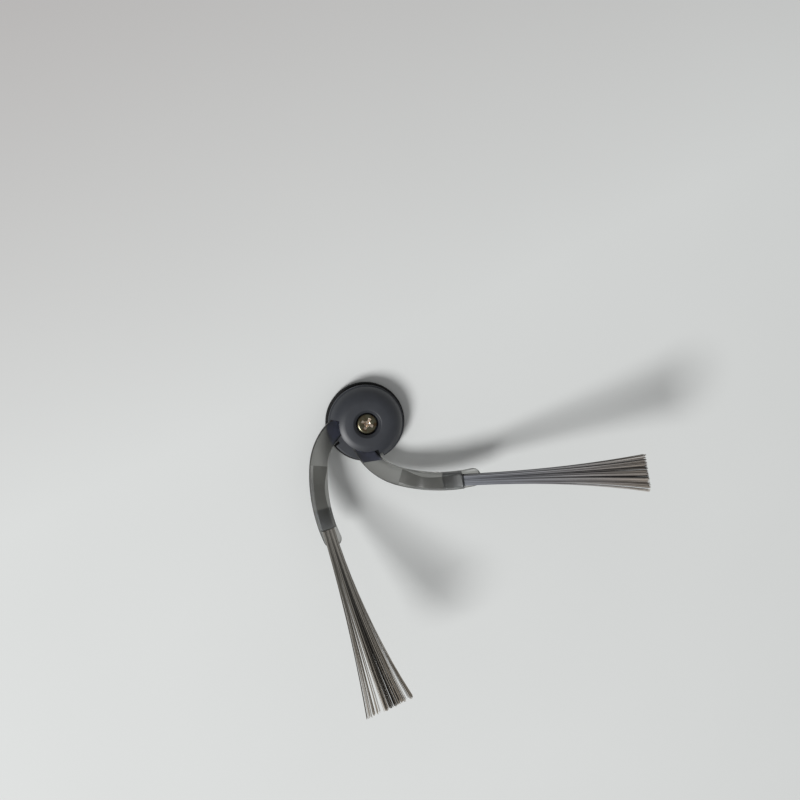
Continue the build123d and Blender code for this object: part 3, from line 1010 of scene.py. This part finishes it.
    # Each strand's own tone, less the painted shade of the streaks where strands pile up.
    shade = chance(DARKEST_STRAND, 1.0, number, 5)
    grown = work("SUBTRACT", 1.0, work("EXPONENT", work("MULTIPLY", along, -STREAK_RISE)))
    for place, width, at_root, at_tip in painted_shade_streaks:
        depth = work("ADD", work("MULTIPLY", grown, at_tip - at_root), at_root)
        off = work("DIVIDE", work("SUBTRACT", column, place), width)
        dark = work("EXPONENT", work("MULTIPLY", work("MULTIPLY", off, off), -1.0))
        shade = work("SUBTRACT", shade, work("MULTIPLY", dark, depth))
    shaded = add_node(tree, "GeometryNodeStoreNamedAttribute", {
        "Geometry": laid.outputs["Geometry"], "Name": Strand.SHADE.value, "Value": shade},
        data_type="FLOAT", domain="POINT")
    measured = add_node(tree, "GeometryNodeStoreNamedAttribute", {
        "Geometry": shaded.outputs["Geometry"], "Name": Strand.ALONG.value, "Value": along},
        data_type="FLOAT", domain="POINT")
    round_section = add_node(tree, "GeometryNodeCurvePrimitiveCircle", {
        "Resolution": ROD_SIDES, "Radius": size["Radius"]}, mode="RADIUS")
    rods = add_node(tree, "GeometryNodeCurveToMesh", {
        "Curve": measured.outputs["Geometry"], "Profile Curve": round_section.outputs["Curve"], "Fill Caps": True})

    extent = add_node(tree, "ShaderNodeCombineXYZ", {
        "X": size["Plug Width"], "Y": size["Plug Thickness"], "Z": size["Plug Depth"]})
    plug = add_node(tree, "GeometryNodeMeshCube", {"Size": extent.outputs["Vector"]})
    drop = add_node(tree, "ShaderNodeCombineXYZ", {"Z": work("MULTIPLY", size["Plug Depth"], -0.5)})
    plug = add_node(tree, "GeometryNodeTransform", {
        "Geometry": plug.outputs["Mesh"], "Translation": drop.outputs["Vector"]})
    plug = add_node(tree, "GeometryNodeStoreNamedAttribute", {
        "Geometry": plug.outputs["Geometry"], "Name": Strand.SHADE.value, "Value": 1.0},
        data_type="FLOAT", domain="POINT")
    whole = add_node(tree, "GeometryNodeJoinGeometry")
    for part, finish in ((rods.outputs["Mesh"], "Strand Finish"), (plug.outputs["Geometry"], "Root Finish")):
        dressed = add_node(tree, "GeometryNodeSetMaterial", {"Geometry": part, "Material": size[finish]})
        tree.links.new(dressed.outputs["Geometry"], whole.inputs["Geometry"])
    add_node(tree, "NodeGroupOutput", {"Geometry": whole.outputs["Geometry"]})
    return tree


@dataclass(frozen=True)
class Studio:
    """Table, soft light from the lower left of the picture, and the camera, in millimetres and degrees."""

    brush_turn_deg: float = 47.8
    camera_mm: tuple[float, float, float] = (-37.29, 45.0, 356.96)
    camera_back: tuple[float, float, float] = (-0.134, 0.106, 0.985)
    focal_px: float = 1140.48
    picture_px: float = 800.0
    table_mm: float = 3000.0
    # Side of the table that its painted shade dims.
    painted_shade_side: tuple[float, float, float] = (-0.45, 0.89, 0.0)
    lamp_from: tuple[float, float, float] = (-0.68, -0.63, 1.0)
    lamp_distance_mm: float = 2500.0
    lamp_size_mm: float = 900.0
    lamp_watts: float = 57.0
    sky: float = 0.33

    def to_brush(self, vector: tuple[float, float, float]) -> Vector:
        """Turn a direction or place on the table, seen upright in the picture, into the brush's axes."""
        return Matrix.Rotation(math.radians(self.brush_turn_deg), 3, "Z") @ Vector(vector)

    def camera(self) -> None:
        """Make the camera that sees the brush as the picture does."""
        lens = bpy.data.cameras.new("camera")
        lens.sensor_width = 36.0
        lens.lens = lens.sensor_width * self.focal_px / self.picture_px
        lens.clip_start = 0.01
        back = self.to_brush(self.camera_back).normalized()
        right = self.to_brush((1.0, 0.0, 0.0))
        right = (right - back * right.dot(back)).normalized()
        turn = Matrix((right, back.cross(right), back)).transposed().to_4x4()
        eye = bpy.data.objects.new("camera", lens)
        eye.matrix_world = Matrix.Translation(self.to_brush(self.camera_mm) * MM) @ turn
        bpy.context.scene.collection.objects.link(eye)
        bpy.context.scene.camera = eye

    def lights(self) -> None:
        """Make the soft lamp and the even light of the room."""
        data = bpy.data.lights.new("window", "AREA")
        data.shape = "DISK"
        data.size = self.lamp_size_mm * MM
        data.energy = self.lamp_watts
        lamp = bpy.data.objects.new("window", data)
        away = self.to_brush(self.lamp_from).normalized()
        lamp.location = away * self.lamp_distance_mm * MM
        lamp.rotation_mode = "QUATERNION"
        lamp.rotation_quaternion = away.to_track_quat("Z", "Y")
        bpy.context.scene.collection.objects.link(lamp)
        world = bpy.data.worlds.new("room")
        world.use_nodes = True
        world.node_tree.nodes["Background"].inputs["Color"].default_value = (1.0, 1.0, 1.0, 1.0)
        world.node_tree.nodes["Background"].inputs["Strength"].default_value = self.sky
        bpy.context.scene.world = world

    def table(self) -> None:
        """Make the table that the brush lies on."""
        half = self.table_mm * MM / 2
        mesh = bpy.data.meshes.new("table")
        corners = [(-half, -half, 0), (half, -half, 0), (half, half, 0), (-half, half, 0)]
        mesh.from_pydata(corners, [], [(0, 1, 2, 3)])
        mesh.materials.append(TableTop(tuple(self.to_brush(self.painted_shade_side))).material())
        top = bpy.data.objects.new("table", mesh)
        bpy.context.scene.collection.objects.link(top)


def carry(piece: bpy.types.Object, node: str) -> None:
    """Let a finished piece ride on the brush.

    Args:
        piece: Finished piece.
        node: CAD node that it stands for.
    """
    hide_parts(node)
    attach(piece, BODY)
    LOG.info("%s: %d faces", piece.name, len(piece.data.polygons))


def dress(node: str, material: bpy.types.Material) -> None:
    """Give a CAD node that keeps its shape a better material.

    Args:
        node: Name of the node.
        material: Finish that fills its slots.
    """
    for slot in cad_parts[node].material_slots:
        slot.material = material
    LOG.info("%s: dressed in %s", node, material.name)


def main() -> None:
    """Build and dress every piece of the brush, then the table, light and camera."""
    logging.basicConfig(level=logging.INFO, format="%(name)s: %(message)s")
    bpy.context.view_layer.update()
    bpy.context.scene.view_settings.view_transform = "Standard"

    hub = Hub().build()
    hub.data.materials.append(CharcoalRubber().material())
    carry(hub, "soft_body")

    first = Arm("soft_arm_1", turn_deg=40.5)
    second = Arm("soft_arm_2", turn_deg=-40.5)
    smoky = SmokyElastomer().material()
    for arm in (first, second):
        piece = arm.build()
        piece.data.materials.append(smoky)
        carry(piece, "soft_body")

    # dark: each strand's darker tone, and the painted shade of the streaks.
    cool = NylonFilament("grey_nylon", dark="#141110", root="#898c93", tip="#a49b91").material()
    warm = NylonFilament("brown_nylon", dark="#100e0c", root="#928f88", tip="#a89f92").material()
    # Painted light: the welded root is near white to make up for the little light that reaches it through the arm.
    weld_with_painted_light = NylonFilament("welded_nylon", dark="#c3c8ce", root="#e2e7ec", tip="#e2e7ec").material()
    upper = Tuft(
        "tuft_1", first, seed=3, spread=11.0, lean=0.8, fan_bend=2.4, slant=0.6, thin_side=(0.42, 0.5),
        gaps=((-0.46, 0.035), (-0.33, 0.04), (0.45, 0.05)),
        painted_shade_streaks=((-0.5, 0.1, 1.0, 0.3), (-0.39, 0.028, 0.0, 1.0), (-0.285, 0.02, 0.0, 1.0),
                 (-0.155, 0.045, 0.0, 1.0), (-0.065, 0.018, 0.0, 1.0), (0.08, 0.045, 0.0, 1.0),
                 (0.31, 0.025, 0.0, 1.0), (0.42, 0.018, 0.0, 1.0)))
    lower = Tuft(
        "tuft_2", second, seed=11, spread=14.0, lean=-2.0, fan_bend=1.9, slant=1.9, thin_side=(0.17, 0.4),
        gaps=((0.19, 0.2), (0.28, 0.06), (0.36, 0.06), (0.44, 0.06), (-0.42, 0.13)),
        painted_shade_streaks=((-0.03, 0.045, 0.5, 1.0), (-0.11, 0.028, 0.0, 1.0), (-0.19, 0.014, 0.0, 1.0),
                 (-0.26, 0.01, 0.0, 1.0), (0.07, 0.01, 0.0, 1.0), (-0.34, 0.01, 0.0, 1.0),
                 (-0.47, 0.02, 0.3, 0.8), (0.32, 0.012, 0.0, 0.8), (0.4, 0.012, 0.0, 0.8),
                 (0.48, 0.016, 0.0, 0.9)))
    for tuft, finish in ((upper, cool), (lower, warm)):
        carry(tuft.build(finish, weld_with_painted_light), "bristle_" + tuft.name)

    dress("hub_core", CorePlastic().material())
    plated = PlatedSteel("bronze_plated_steel", colour="#6b6958", stain="#5c4a36").material()
    worn = PlatedSteel("worn_steel", colour="#e6dccd", stain="#7a4429", roughness=0.3).material()
    carry(Screw().build(plated, worn), "hub_screw")

    studio = Studio()
    studio.table()
    studio.lights()
    studio.camera()


if __name__ == "__main__":
    main()
